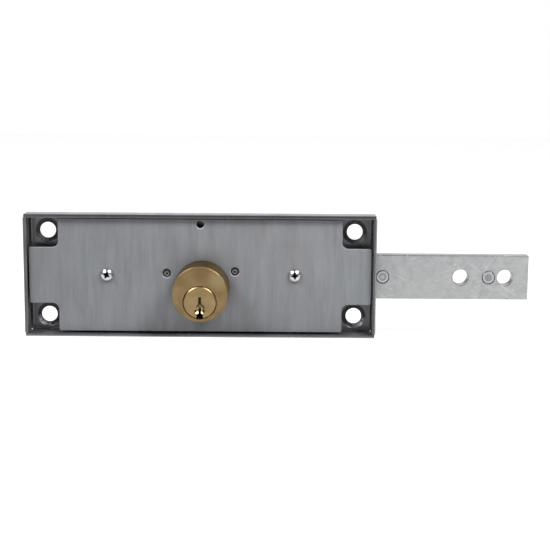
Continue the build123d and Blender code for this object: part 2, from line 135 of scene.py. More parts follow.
# Holes of the cover with a sunk lip, as axis and radius, and how wide the lip is. Two of them
# hold the studs, and the spare one lies near the cover's top.
SPARE_HOLE_AXIS = (0.0, COVER_TOP - 2.4 * MM)
SPARE_HOLE_RADIUS = 1.65 * MM
SUNK_HOLES = [(axis_of(stud), radius_of(stud)) for stud in STUDS]
SUNK_HOLES.append((SPARE_HOLE_AXIS, SPARE_HOLE_RADIUS))
LIP_WIDTH = 0.5 * MM

# Mounting holes of the case: x of the right pair, z of the upper pair, the cone round each, and
# how far the worn side of a cone, painted bright as a glint, turns from straight down to straight
# outwards
MOUNTING_X = CASE_END - 9.2 * MM
MOUNTING_Z = CASE_TOP - 8.2 * MM
CONE_INNER = 3.5 * MM
CONE_OUTER = 5.5 * MM
WEAR_GLINT_TURN = radians(38)

# Two sets of fine scratches: a shift, a turn in degrees, and how dense they are across and along
SCRATCH_SETS = ((0.0, 12.0, 1500, 60), (4.0, -34.0, 1100, 45))

FLOAT = "NodeSocketFloat"
VECTOR = "NodeSocketVector"


def deselect_all():
    """Leave nothing selected, so that an operator acts only on what is added next."""
    for thing in bpy.context.view_layer.objects:
        thing.select_set(False)


def rgb(red, green, blue):
    """Linear colour of a screen colour given as 0 to 255."""
    def channel(value):
        value = value / 255
        return value / 12.92 if value <= 0.04045 else ((value + 0.055) / 1.055) ** 2.4
    return (channel(red), channel(green), channel(blue), 1.0)


# Shading: short ways to add nodes

class Shading:
    """A node tree, with a short way to add each kind of node. Most give the output to use next."""

    def __init__(self, tree):
        self.tree = tree

    def add(self, kind):
        """A new node of a kind."""
        return self.tree.nodes.new(kind)

    def feed(self, socket, value):
        """Give a socket a link if the value is an output, or else the value itself."""
        if isinstance(value, bpy.types.NodeSocket):
            self.tree.links.new(value, socket)
        else:
            socket.default_value = value

    def math(self, operation, first, second=0.0, clamp=False):
        """Output of a math node on links or numbers."""
        node = self.add("ShaderNodeMath")
        node.operation = operation
        node.use_clamp = clamp
        self.feed(node.inputs[0], first)
        self.feed(node.inputs[1], second)
        return node.outputs[0]

    def product(self, first, *others):
        """All the values multiplied."""
        for other in others:
            first = self.math("MULTIPLY", first, other)
        return first

    def total(self, first, *others):
        """All the values added up."""
        for other in others:
            first = self.math("ADD", first, other)
        return first

    def largest(self, first, *others):
        """The largest of the values."""
        for other in others:
            first = self.math("MAXIMUM", first, other)
        return first

    def difference(self, first, second, clamp=False):
        """The first value less the second, held between 0 and 1 if clamped."""
        return self.math("SUBTRACT", first, second, clamp)

    def distance(self, across, up):
        """Distance of a point from an axis, from its places across and up."""
        squares = self.total(self.product(across, across), self.product(up, up))
        return self.math("SQRT", squares)

    def ramp(self, value, low, high, at_low=0.0, at_high=1.0):
        """A value moved from one range to another, and held inside the new one."""
        node = self.add("ShaderNodeMapRange")
        self.feed(node.inputs["Value"], value)
        self.feed(node.inputs["From Min"], low)
        self.feed(node.inputs["From Max"], high)
        self.feed(node.inputs["To Min"], at_low)
        self.feed(node.inputs["To Max"], at_high)
        return node.outputs["Result"]

    def band(self, value, rise, fall, strength=1.0):
        """A mask that rises to a strength over one range of a value, and falls over a later one."""
        risen = self.ramp(value, *rise, at_high=strength)
        fallen = self.ramp(value, *fall, at_low=1.0, at_high=0.0)
        return self.product(risen, fallen)

    def mix(self, share, first, second):
        """Colour between two colours, by a share from 0 to 1."""
        node = self.add("ShaderNodeMix")
        node.data_type = "RGBA"
        self.feed(node.inputs["Factor"], share)
        self.feed(node.inputs[6], first)
        self.feed(node.inputs[7], second)
        return node.outputs[2]

    def split(self, vector):
        """The X, Y and Z of a vector, by name."""
        node = self.add("ShaderNodeSeparateXYZ")
        self.feed(node.inputs["Vector"], vector)
        return node.outputs

    def join(self, x, y=0.0):
        """A vector of X and Y, in the plane of Z = 0."""
        node = self.add("ShaderNodeCombineXYZ")
        self.feed(node.inputs["X"], x)
        self.feed(node.inputs["Y"], y)
        return node.outputs["Vector"]

    def stretched(self, place, x, y, z):
        """A place with each axis multiplied by a factor in turns per metre."""
        node = self.add("ShaderNodeMapping")
        node.inputs["Scale"].default_value = (x, y, z)
        self.feed(node.inputs["Vector"], place)
        return node.outputs["Vector"]

    def noise(self, place, detail=3.0, roughness=0.55, scale=1.0, distortion=0.0):
        """Smooth noise at a place, from 0 to 1 and mostly near 0.5."""
        node = self.add("ShaderNodeTexNoise")
        node.inputs["Detail"].default_value = detail
        node.inputs["Roughness"].default_value = roughness
        node.inputs["Distortion"].default_value = distortion
        self.feed(node.inputs["Scale"], scale)
        self.feed(node.inputs["Vector"], place)
        return node.outputs["Fac"]

    def spread(self, noise):
        """Noise opened out, so that it reaches from 0 to 1."""
        return self.ramp(noise, 0.3, 0.7)


class Group(Shading):
    """A shader node group in the making, with the outputs of its input node as given."""

    def __init__(self, name, inputs, outputs):
        super().__init__(bpy.data.node_groups.new(name, "ShaderNodeTree"))
        for socket_name, kind, value in inputs:
            socket = self.tree.interface.new_socket(socket_name, in_out="INPUT", socket_type=kind)
            if value is not None:
                socket.default_value = value
        for socket_name, kind in outputs:
            self.tree.interface.new_socket(socket_name, in_out="OUTPUT", socket_type=kind)
        self.given = self.add("NodeGroupInput").outputs
        self.result = self.add("NodeGroupOutput").inputs

    def put_out(self, name, value):
        """Send a value out of the group."""
        self.feed(self.result[name], value)


# Effects that more than one finish uses

def build_edge_group():
    """Rounded edges: a normal that turns round each edge, and a mask of the edges."""
    group = Group("soft_edges", [("Width", FLOAT, 0.3 * MM)], [("Edge", FLOAT), ("Normal", VECTOR)])
    bevel = group.add("ShaderNodeBevel")
    bevel.samples = 6
    group.feed(bevel.inputs["Radius"], group.given["Width"])
    alike = group.add("ShaderNodeVectorMath")
    alike.operation = "DOT_PRODUCT"
    group.feed(alike.inputs[0], bevel.outputs["Normal"])
    group.feed(alike.inputs[1], group.add("ShaderNodeNewGeometry").outputs["Normal"])
    group.put_out("Edge", group.ramp(alike.outputs["Value"], 0.995, 0.80))
    group.put_out("Normal", bevel.outputs["Normal"])
    return group.tree


def build_grain_group():
    """Brushed grain along Z: fine streaks and soft, short bands."""
    group = Group("brushed_grain", [("Place", VECTOR, None)], [("Streaks", FLOAT), ("Bands", FLOAT)])
    place = group.given["Place"]
    streaks = group.noise(group.stretched(place, 1900, 1900, 90), detail=4.0, roughness=0.6)
    bands = group.noise(group.stretched(place, 330, 330, 42), detail=3.0, roughness=0.5)
    group.put_out("Streaks", group.spread(streaks))
    group.put_out("Bands", group.spread(bands))
    return group.tree


def build_crevice_group():
    """Mask of gaps, slots and inner corners, where grime gathers and light is lost."""
    group = Group("crevices", [("Reach", FLOAT, 1.0 * MM)], [("Crevice", FLOAT)])
    occlusion = group.add("ShaderNodeAmbientOcclusion")
    occlusion.samples = 12
    group.feed(occlusion.inputs["Distance"], group.given["Reach"])
    group.put_out("Crevice", group.ramp(occlusion.outputs["AO"], 0.85, 0.35))
    return group.tree


def build_smudge_group():
    """Handling marks: soft clouds, and fine pits and specks."""
    group = Group(
        "handling_marks",
        [("Place", VECTOR, None), ("Cloud Scale", FLOAT, 60.0), ("Speck Scale", FLOAT, 900.0)],
        [("Clouds", FLOAT), ("Specks", FLOAT)],
    )
    given = group.given
    clouds = group.noise(given["Place"], 5.0, 0.6, scale=given["Cloud Scale"], distortion=0.4)
    specks = group.noise(given["Place"], 2.0, 0.5, scale=given["Speck Scale"])
    group.put_out("Clouds", group.spread(clouds))
    group.put_out("Specks", group.ramp(specks, 0.66, 0.78))
    return group.tree


def build_scratch_group():
    """Fine scratches in two directions, as thin bright lines on a dark ground."""
    group = Group(
        "fine_scratches",
        [("Place", VECTOR, None), ("Share", FLOAT, 0.5)],
        [("Scratches", FLOAT)],
    )
    scratches = 0.0
    for shift, turn, across, along in SCRATCH_SETS:
        turned = group.add("ShaderNodeMapping")
        turned.inputs["Rotation"].default_value = (0.0, radians(turn), 0.0)
        turned.inputs["Location"].default_value = (shift, 0.0, 0.0)
        group.feed(turned.inputs["Vector"], group.given["Place"])
        stretched = group.stretched(turned.outputs["Vector"], along, along, across)
        lines = group.noise(stretched, detail=2.0, roughness=0.5)
        scratches = group.largest(scratches, group.ramp(lines, 0.68, 0.74))
    group.put_out("Scratches", group.product(scratches, group.given["Share"]))
    return group.tree


def build_turning_group():
    """Lathe marks: rings round an axis along Y, on faces and on round walls alike."""
    group = Group(
        "turning_marks",
        [("Place", VECTOR, None), ("Axis X", FLOAT, 0.0), ("Axis Z", FLOAT, 0.0)],
        [("Rings", FLOAT), ("Radius", FLOAT)],
    )
    place = group.split(group.given["Place"])
    across = group.difference(place["X"], group.given["Axis X"])
    up = group.difference(place["Z"], group.given["Axis Z"])
    radius = group.distance(across, up)
    profile = group.stretched(group.join(radius, place["Y"]), 3200, 3200, 1)
    group.put_out("Rings", group.spread(group.noise(profile, detail=3.0, roughness=0.6)))
    group.put_out("Radius", radius)
    return group.tree


def build_lip_group():
    """The sunk lip of a hole along Y: its height, from 0 at the hole to 1 on the flat."""
    group = Group(
        "sunk_lip",
        [
            ("Place", VECTOR, None),
            ("Axis X", FLOAT, 0.0),
            ("Axis Z", FLOAT, 0.0),
            ("Radius", FLOAT, 1.0 * MM),
            ("Width", FLOAT, 0.5 * MM),
        ],
        [("Height", FLOAT)],
    )
    ring = group.add("ShaderNodeGroup")
    ring.node_tree = turning_marks
    for name in ("Place", "Axis X", "Axis Z"):
        group.feed(ring.inputs[name], group.given[name])
    inner = group.given["Radius"]
    outer = group.total(inner, group.given["Width"])
    group.put_out("Height", group.ramp(ring.outputs["Radius"], inner, outer))
    return group.tree


def build_cone_wear_group():
    """Metal worn by the screw heads and painted bright as a glint, low on the outer side of the
    mounting holes.

    The back of the case lies at Y = 0, and the masks end just before it.
    """
    group = Group(
        "cone_wear",
        [("Place", VECTOR, None), ("Hole X", FLOAT, 0.0), ("Hole Z", FLOAT, 0.0)],
        [("Wear Glint", FLOAT), ("Cone", FLOAT)],
    )
    place = group.split(group.given["Place"])
    outwards = group.difference(group.math("ABSOLUTE", place["X"]), group.given["Hole X"])
    upwards = group.difference(place["Z"], group.given["Hole Z"])
    radius = group.distance(outwards, upwards)
    worn_way = group.difference(
        group.product(outwards, sin(WEAR_GLINT_TURN)), group.product(upwards, cos(WEAR_GLINT_TURN))
    )
    facing = group.ramp(group.math("DIVIDE", worn_way, radius), 0.65, 0.97)
    patchy = group.noise(group.stretched(group.given["Place"], 700, 700, 700))
    patches = group.ramp(patchy, 0.3, 0.42)
    front = group.ramp(place["Y"], -0.3 * MM, -0.1 * MM, at_low=1.0, at_high=0.0)
    ring = group.band(
        radius,
        rise=(CONE_INNER, CONE_INNER + 0.5 * MM),
        fall=(CONE_OUTER - 0.7 * MM, CONE_OUTER),
    )
    cone = group.product(ring, front)
    group.put_out("Wear Glint", group.product(facing, cone, patches))
    group.put_out("Cone", cone)
    return group.tree


soft_edges = build_edge_group()
brushed_grain = build_grain_group()
handling_marks = build_smudge_group()
fine_scratches = build_scratch_group()
turning_marks = build_turning_group()
crevices = build_crevice_group()
sunk_lip = build_lip_group()
cone_wear = build_cone_wear_group()


class Finish(Shading):
    """A material in the making: its node tree, its shader and the object's own place."""

    def __init__(self, name, metallic):
        self.material = bpy.data.materials.new(name)
        self.material.use_nodes = True
        super().__init__(self.material.node_tree)
        self.shader = self.tree.nodes["Principled BSDF"]
        self.shader.inputs["Metallic"].default_value = metallic
        self.place = self.add("ShaderNodeTexCoord").outputs["Object"]

    def use(self, effect, values):
        """Place an effect in the material with its own values, on the object's own place."""
        node = self.add("ShaderNodeGroup")
        node.node_tree = effect
        if "Place" in node.inputs:
            self.feed(node.inputs["Place"], self.place)
        for name, value in values.items():
            node.inputs[name].default_value = value
        return node.outputs

    def marks(self, clouds, specks):
        """Handling marks, with the scales of their clouds and of their specks."""
        return self.use(handling_marks, {"Cloud Scale": clouds, "Speck Scale": specks})

    def scratches(self, share):
        """Mask of fine scratches, up to a share."""
        return self.use(fine_scratches, {"Share": share})["Scratches"]

    def edges(self, width):
        """Rounded edges of a width."""
        return self.use(soft_edges, {"Width": width})

    def rings(self, axis):
        """Lathe marks round an axis, and the distance from it."""
        return self.use(turning_marks, {"Axis X": axis[0], "Axis Z": axis[1]})

    def tint(self, colour, over, mask, strength=1.0):
        """The colour with another laid over it where a mask is, up to a strength."""
        share = mask if strength == 1.0 else self.product(mask, strength)
        return self.mix(share, colour, over)

    def shade_and_grime(self, colour, shade_grime_colour, reach, strength):
        """The colour with painted shade and grime in gaps and inner corners, up to a reach."""
        crevice = self.use(crevices, {"Reach": reach})["Crevice"]
        return self.mix(self.product(crevice, strength), colour, shade_grime_colour)

    def apply(self, colour, roughness, height=None, depth=0.0, normal=None):
        """Link colour, roughness and relief to the shader, and give the material."""
        self.feed(self.shader.inputs["Base Color"], colour)
        self.feed(self.shader.inputs["Roughness"], roughness)
        if height is not None:
            bump = self.add("ShaderNodeBump")
            bump.inputs["Distance"].default_value = depth
            self.feed(bump.inputs["Height"], height)
            if normal is not None:
                self.feed(bump.inputs["Normal"], normal)
            self.feed(self.shader.inputs["Normal"], bump.outputs["Normal"])
        return self.material


# Steel of the cover, the case and the bolt

def cover_steel():
    """Brushed plate with a soft vertical grain and faint stains, light at its edges, with painted
    shade and painted highlights on its lips.
    """
    finish = Finish("cover_steel", metallic=0.3)
    grain = finish.use(brushed_grain, {})
    stains = finish.marks(clouds=34.0, specks=1300.0)
    tints = finish.marks(clouds=90.0, specks=1300.0)
    edges = finish.edges(width=0.25 * MM)

    streaks = finish.product(grain["Streaks"], 0.35)
    bands = finish.product(grain["Bands"], 0.5)
    clouds = finish.product(tints["Clouds"], 0.25)
    tone = finish.total(bands, clouds, streaks)
    plain = finish.mix(tone, rgb(108, 109, 114), rgb(152, 154, 159))
    cool = finish.tint(plain, rgb(118, 129, 133), tints["Clouds"], strength=0.5)
    warm = finish.tint(cool, rgb(121, 117, 118), stains["Clouds"], strength=0.5)
    # Painted shade: the cover is darker at its left end and on the lower side of its right half.
    end_shaded = finish.tint(warm, rgb(102, 103, 107), painted_end_shade(finish))
    pitted = finish.tint(end_shaded, rgb(88, 88, 90), stains["Specks"], strength=0.25)
    worn = finish.tint(pitted, rgb(190, 191, 194), edges["Edge"], strength=0.8)

    level = sunk_lips(finish)
    flat = len(SUNK_HOLES)
    # Painted highlight: the sunk lips round the holes are made lighter.
    rubbed = finish.ramp(level, flat - 1.0, flat - 0.1, at_low=0.6, at_high=0.0)
    lip_highlit = finish.tint(worn, rgb(200, 201, 203), rubbed)
    # Painted shade and grime in the cover's gaps and round its screws and studs.
    shaded_and_grimed = finish.shade_and_grime(lip_highlit, rgb(52, 52, 55), reach=0.8 * MM, strength=0.5)
    # Painted shade: a wide darkening near the cylinder body and the case's walls, strongest near the
    # body.
    from_body = finish.rings(BODY_AXIS)["Radius"]
    body_shade_share = finish.ramp(from_body, 16.0 * MM, 34.0 * MM, at_low=0.75, at_high=0.3)
    colour = finish.shade_and_grime(shaded_and_grimed, rgb(80, 80, 83), reach=12.0 * MM, strength=body_shade_share)

    satin = finish.ramp(tone, 0.0, 1.0, at_low=0.58, at_high=0.50)
    rough = finish.total(satin, finish.product(stains["Clouds"], 0.05))
    height = finish.total(level, finish.product(grain["Streaks"], 0.012))
    return finish.apply(colour, rough, height, depth=0.35 * MM, normal=edges["Normal"])


def painted_end_shade(finish):
    """Mask of painted shade on the cover: at its left end, and on the lower side of its right half,
    below the body.
    """
    place = finish.split(finish.place)
    left_end = finish.ramp(place["X"], -70.0 * MM, 40.0 * MM, at_low=0.4, at_high=0.0)
    right_half = finish.ramp(place["X"], 0.0, 25.0 * MM)
    lower_side = finish.ramp(place["Z"], 4.0 * MM, -22.0 * MM, at_high=0.35)
    return finish.total(left_end, finish.product(right_half, lower_side))


def sunk_lips(finish):
    """Relief of the cover round its sunk holes: their number on the flat, and 1 less at a hole."""
    lips = []
    for axis, radius in SUNK_HOLES:
        hole = {"Axis X": axis[0], "Axis Z": axis[1], "Radius": radius, "Width": LIP_WIDTH}
        lips.append(finish.use(sunk_lip, hole)["Height"])
    return finish.total(*lips)


def case_steel():
    """Dark, half-glossy plated sheet with cloudy handling marks and rubbed edges, and painted light
    and shade on its rim, deep inside and in its cones.
    """
    metallic = 0.4
    finish = Finish("case_steel", metallic)
    marks = finish.marks(clouds=75.0, specks=1500.0)
    scratches = finish.scratches(share=0.4)
    edges = finish.edges(width=0.2 * MM)
    place = finish.split(finish.place)
    cone, wear_glint = cone_masks(finish)
    upper_roll, outer_roll = rim_masks(finish, place["Y"], edges["Normal"])

    rim = finish.mix(marks["Clouds"], rgb(72, 72, 75), rgb(96, 96, 100))
    rim_front = front_of("case")
    # Painted light: the case is lighter deeper inside, where little light reaches.
    deep = finish.ramp(place["Y"], rim_front + 1.0 * MM, rim_front + 6.0 * MM, at_high=0.3)
    plain = finish.tint(rim, rgb(114, 114, 118), deep)
    scored = finish.tint(plain, rgb(132, 132, 134), scratches, strength=0.5)
    rubbed = finish.tint(scored, rgb(124, 125, 127), edges["Edge"], strength=0.2)
    # The mounting cones are darker.
    cones_darkened = finish.tint(rubbed, rgb(50, 50, 52), cone, strength=0.6)
    # Painted dark reflection on the upper side of the rolled rim, and a painted highlight on its
    # lower and right side.
    darkened = finish.tint(cones_darkened, rgb(50, 50, 53), upper_roll)
    roll_highlit = finish.tint(darkened, rgb(200, 201, 203), outer_roll)
    # Worn patches in the mounting cones, painted near white and less metallic as painted glints.
    colour = finish.tint(roll_highlit, rgb(246, 247, 249), wear_glint)

    finish.feed(finish.shader.inputs["Metallic"], finish.ramp(wear_glint, 0.0, 1.0, at_low=metallic))
    satin = finish.ramp(marks["Clouds"], 0.0, 1.0, at_low=0.30, at_high=0.20)
    unworn_cone = finish.difference(cone, wear_glint, clamp=True)
    rough = finish.total(satin, finish.product(unworn_cone, 0.3), finish.product(wear_glint, 0.25))
    height = finish.difference(marks["Clouds"], scratches)
    return finish.apply(colour, rough, height, depth=0.010 * MM, normal=edges["Normal"])


def cone_masks(finish):
    """Masks of the mounting cones, and of the worn patches in them painted bright as glints, which
    are weaker in the upper ones.
    """
    upper = finish.use(cone_wear, {"Hole X": MOUNTING_X, "Hole Z": MOUNTING_Z})
    lower = finish.use(cone_wear, {"Hole X": MOUNTING_X, "Hole Z": -MOUNTING_Z})
    cone = finish.largest(upper["Cone"], lower["Cone"])
    wear_glint = finish.largest(finish.product(upper["Wear Glint"], 0.4), lower["Wear Glint"])
    return cone, wear_glint


def rim_masks(finish, depth, normal):
    """Masks of painted light on the case's rolled rim: a painted dark reflection on its upper side,
    and a painted highlight on its lower side with the right one.
    """
    rim_front = front_of("case")
    on_rim = finish.ramp(depth, rim_front + 1.0 * MM, rim_front + 1.5 * MM, at_low=1.0, at_high=0.0)
    facing = finish.split(normal)
    upper = finish.band(facing["Z"], rise=(0.2, 0.5), fall=(0.7, 0.9), strength=0.8)
    under = finish.ramp(facing["Z"], -0.35, -0.75, at_high=0.8)
    outside = finish.ramp(facing["X"], 0.35, 0.75, at_high=0.4)
    outer = finish.largest(under, outside)
    return finish.product(upper, on_rim), finish.product(outer, on_rim)


def bolt_steel():
    """Dull zinc-plated bar with fine mottling, small specks and fine scratches, and painted shade on
    its upper faces, in its crevices and inside the case.
    """
    finish = Finish("bolt_steel", metallic=0.7)
    mottles = finish.marks(clouds=260.0, specks=620.0)
    stains = finish.marks(clouds=60.0, specks=800.0)
    scratches = finish.scratches(share=0.6)
    edges = finish.edges(width=0.9 * MM)
    along = finish.split(finish.place)["X"]
    facing_up = finish.split(edges["Normal"])["Z"]

    plain = finish.mix(mottles["Clouds"], rgb(152, 153, 154), rgb(180, 181, 182))
    # The bolt is darker towards the case.
    near_case = finish.ramp(along, CASE_END, CASE_END + 60.0 * MM, at_low=0.45, at_high=0.0)
    darker_near_case = finish.tint(plain, rgb(146, 147, 148), near_case)
    clouded = finish.tint(darker_near_case, rgb(176, 178, 178), stains["Clouds"], strength=0.45)
    # Painted shade: faces of the bar that turn upwards are darker.
    upper_edge = finish.band(facing_up, rise=(0.12, 0.4), fall=(0.75, 0.95), strength=0.9)
    top_shaded = finish.tint(clouded, rgb(92, 93, 95), upper_edge)
    dotted = finish.tint(top_shaded, rgb(222, 223, 223), stains["Specks"], strength=0.5)
    specked = finish.tint(dotted, rgb(112, 113, 115), mottles["Specks"], strength=0.6)
    scored = finish.tint(specked, rgb(230, 231, 231), scratches, strength=0.5)
    # Painted shade and grime round the pins and in the bar's crevices.
    ringed = finish.shade_and_grime(scored, rgb(70, 70, 72), reach=0.6 * MM, strength=0.5)
    # Painted shade: a near black colour where the bar runs into the case.
    housed = finish.ramp(along, CASE_END - 0.5 * MM, CASE_END, at_low=0.85, at_high=0.0)
    colour = finish.shade_and_grime(ringed, rgb(46, 46, 48), reach=3.0 * MM, strength=housed)

    rough = finish.ramp(mottles["Clouds"], 0.0, 1.0, at_low=0.46, at_high=0.38)
    height = finish.difference(mottles["Clouds"], mottles["Specks"])
    return finish.apply(colour, rough, height, depth=0.010 * MM, normal=edges["Normal"])


# Steel of the small parts

def plain_steel(name, dark, light, roughest, smoothest):
    """Plain steel of small turned parts, with faint marks, and painted shade with grime in its slots.
    """
    finish = Finish(name, metallic=1.0)
    marks = finish.marks(clouds=400.0, specks=1800.0)
    edges = finish.edges(width=0.12 * MM)
    plain = finish.mix(marks["Clouds"], dark, light)
    rubbed = finish.tint(plain, rgb(200, 200, 202), edges["Edge"], strength=0.3)
    # Painted shade and grime in the slots and gaps, near black.
    colour = finish.shade_and_grime(rubbed, rgb(20, 20, 22), reach=0.9 * MM, strength=1.0)
    rough = finish.ramp(marks["Clouds"], 0.0, 1.0, at_low=roughest, at_high=smoothest)
    return finish.apply(colour, rough, marks["Clouds"], depth=0.01 * MM, normal=edges["Normal"])


def recessed_steel(name, reach, depths, dark, light, roughest, smoothest):
    """Steel end with a recess: painted shade lies near its axis, from one depth to another from its
    front.
    """
    finish = Finish(f"{name}_steel", metallic=1.0)
    marks = finish.marks(clouds=400.0, specks=1800.0)
    radius = finish.rings(axis_of(name))["Radius"]
    front = front_of(name)
    deep = finish.ramp(finish.split(finish.place)["Y"], front + depths[0], front + depths[1])
    near_axis = finish.ramp(radius, reach, 1.1 * reach, at_low=1.0, at_high=0.0)
    # Painted shade: the recess is near black and rougher.
    recess = finish.product(deep, near_axis)
    plain = finish.mix(marks["Clouds"], dark, light)
    colour = finish.tint(plain, rgb(26, 26, 28), recess)
    satin = finish.ramp(marks["Clouds"], 0.0, 1.0, at_low=roughest, at_high=smoothest)
    rough = finish.total(satin, finish.product(recess, 0.4))
    return finish.apply(colour, rough, marks["Clouds"], depth=0.01 * MM)


def screw_steel(name):
    """Bright domed screw head with a dark cross."""
    return recessed_steel(
        name,
        reach=CROSS_REACH,
        depths=(0.5 * MM, 0.8 * MM),
        dark=rgb(182, 182, 184),
        light=rgb(206, 206, 208),
        roughest=0.28,
        smoothest=0.22,
    )


def stud_steel(name):
    """Riveted stud end with a dark groove and centre."""
    return recessed_steel(
        name,
        reach=STUD_REACH,
        depths=(0.05 * MM, 0.2 * MM),
        dark=rgb(98, 98, 100),
        light=rgb(128, 128, 130),
        roughest=0.5,
        smoothest=0.4,
    )


def key_pin_steel(name):
    """Key pin painted dark brown as shade, with painted light on the tip that the key touches."""
    finish = Finish(f"{name}_steel", metallic=0.2)
    marks = finish.marks(clouds=500.0, specks=1800.0)
    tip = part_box(name)[0].z
    height = finish.split(finish.place)["Z"]
    # Painted light on the tip of the pin, and painted shade on the rest of it.
    rubbed = finish.ramp(height, tip + KEY_PIN_LIT_TIP, tip + 0.7 * KEY_PIN_LIT_TIP)
    colour = finish.tint(rgb(78, 54, 26), rgb(236, 240, 218), rubbed)
    return finish.apply(colour, finish.ramp(marks["Clouds"], 0.0, 1.0, at_low=0.45, at_high=0.35))


def turned_pin_steel(name, node, middle, face, groove_strength):
    """Dull end of a turned pin: rings round its axis, a darker middle and a dark edge."""
    finish = Finish(name, metallic=1.0)
    rings = finish.rings(axis_of(node))
    marks = finish.marks(clouds=330.0, specks=1500.0)
    edges = finish.edges(width=0.12 * MM)
    radius = rings["Radius"]
    end = radius_of(node)
    outwards = finish.ramp(radius, 0.5 * end, 0.7 * end)
    plain = finish.mix(outwards, middle, face)
    profile = finish.stretched(finish.join(radius), 1100, 1, 1)
    uneven = finish.noise(profile, detail=1.0, roughness=0.4)
    grooves = finish.ramp(uneven, 0.42, 0.58, at_high=groove_strength)
    grooved = finish.tint(plain, rgb(112, 112, 114), grooves)
    clouded = finish.tint(grooved, rgb(206, 206, 208), marks["Clouds"], strength=0.25)
    # Painted shade: a dark ring near the pin's edge stands in for the shaded gap round it.
    rim = finish.ramp(radius, 0.84 * end, 0.92 * end, at_high=0.75)
    colour = finish.tint(clouded, rgb(84, 84, 86), rim)
    rough = finish.ramp(rings["Rings"], 0.0, 1.0, at_low=0.5, at_high=0.38)
    return finish.apply(colour, rough, rings["Rings"], depth=0.04 * MM, normal=edges["Normal"])


# Brass of the lock cylinder

def turned_brass(name, axis, dark, light):
    """Satin brass with lathe marks round an axis, as finish, colour, roughness and rings."""
    finish = Finish(name, metallic=1.0)
    finish.shader.inputs["Specular Tint"].default_value = rgb(168, 158, 142)
    rings = finish.rings(axis)
    marks = finish.marks(clouds=110.0, specks=1600.0)
    tone = finish.total(finish.product(rings["Rings"], 0.3), finish.product(marks["Clouds"], 0.7))
    plain = finish.mix(tone, dark, light)
    colour = finish.tint(plain, rgb(104, 84, 56), marks["Specks"], strength=0.25)
    return finish, colour, finish.ramp(tone, 0.0, 1.0, at_low=0.36, at_high=0.28), rings


def face_spot(finish, centre, strength):
    """Mask of a soft round spot of painted reflection on the face of the cylinder body."""
    radius = finish.rings(centre)["Radius"]
    return finish.ramp(radius, SPOT_CORE, SPOT_REACH, at_low=strength, at_high=0.0)


def body_brass():
    """Brass of the cylinder body, with painted reflections on its face and wall, a dark ring of
    painted shade round the plug, and painted shade on its bevel and at its foot.
    """
    finish, plain, satin, rings = turned_brass(
        "brass_body", BODY_AXIS, dark=rgb(108, 89, 63), light=rgb(143, 122, 86)
    )
    place = finish.split(finish.place)
    near_plug = finish.ramp(
        finish.rings(PLUG_AXIS)["Radius"],
        PLUG_RADIUS + 0.75 * BRASS_EDGE,
        PLUG_RADIUS + 1.1 * BRASS_EDGE,
        at_low=0.9,
        at_high=0.0,
    )
    edge_start = (BODY_RADIUS - 1.2 * BRASS_EDGE, BODY_RADIUS - BRASS_EDGE)
    edge_end = (BODY_RADIUS - 0.25 * BRASS_EDGE, BODY_RADIUS - 0.05 * BRASS_EDGE)
    near_edge = finish.ramp(rings["Radius"], *edge_start)
    # Painted shade on the bevel round the body's face, which dims its highlight.
    edge = finish.band(rings["Radius"], rise=edge_start, fall=edge_end, strength=0.5)
    right_side = (BODY_AXIS[0] + 3.0 * MM, BODY_AXIS[0] + 9.0 * MM)
    # Painted reflection: the body's wall and rim are lighter and greyer towards the right.
    wall_reflection = finish.ramp(place["X"], *right_side, at_low=0.2, at_high=0.45)
    cover_front = front_of("cover_plate")
    # Painted shadow: the foot of the body is darker where it meets the cover.
    foot = finish.ramp(place["Y"], cover_front - 3.2 * MM, cover_front - 1.0 * MM, at_high=0.7)

    # Painted reflection: one darker and one lighter soft spot on the face of the body.
    darker = finish.tint(plain, rgb(112, 91, 63), face_spot(finish, DARK_REFLECTION_SPOT, strength=0.75))
    spotted = finish.tint(darker, rgb(150, 130, 95), face_spot(finish, LIGHT_REFLECTION_SPOT, strength=0.8))
    # Painted shade: a dark ring on the chamfer round the plug, which hides its highlight.
    ringed = finish.tint(spotted, rgb(70, 48, 24), near_plug)
    # Painted reflection on the right side of the body's wall.
    wall_reflected = finish.tint(ringed, rgb(156, 143, 112), finish.product(near_edge, wall_reflection))
    edged = finish.tint(wall_reflected, rgb(80, 66, 47), edge)
    footed = finish.tint(edged, rgb(46, 36, 28), foot)
    # Painted shade and grime in the gaps and slots of the body.
    colour = finish.shade_and_grime(footed, rgb(62, 42, 20), reach=1.2 * MM, strength=0.9)
    dull = finish.total(finish.product(near_plug, 0.35), finish.product(near_edge, 0.17))
    return finish.apply(colour, finish.total(satin, dull), rings["Rings"], depth=0.003 * MM)


def plug_brass():
    """Brass of the plug, lighter than the body and polished by keys in the cone of the keyway."""
    finish, plain, satin, rings = turned_brass(
        "brass_plug", PLUG_AXIS, dark=rgb(122, 103, 73), light=rgb(157, 136, 97)
    )
    from_entry = finish.rings(KEY_ENTRY_AXIS)["Radius"]
    polish = finish.ramp(from_entry, 0.98 * KEY_ENTRY_RADIUS, KEY_ENTRY_RADIUS, at_low=0.55)
    # Painted shade and grime in the keyway and the gap round the plug.
    colour = finish.shade_and_grime(plain, rgb(70, 48, 24), reach=0.6 * MM, strength=0.7)
    return finish.apply(colour, finish.product(satin, polish), rings["Rings"], depth=0.003 * MM)


# Finishes by material slot, and by node where a piece has its own

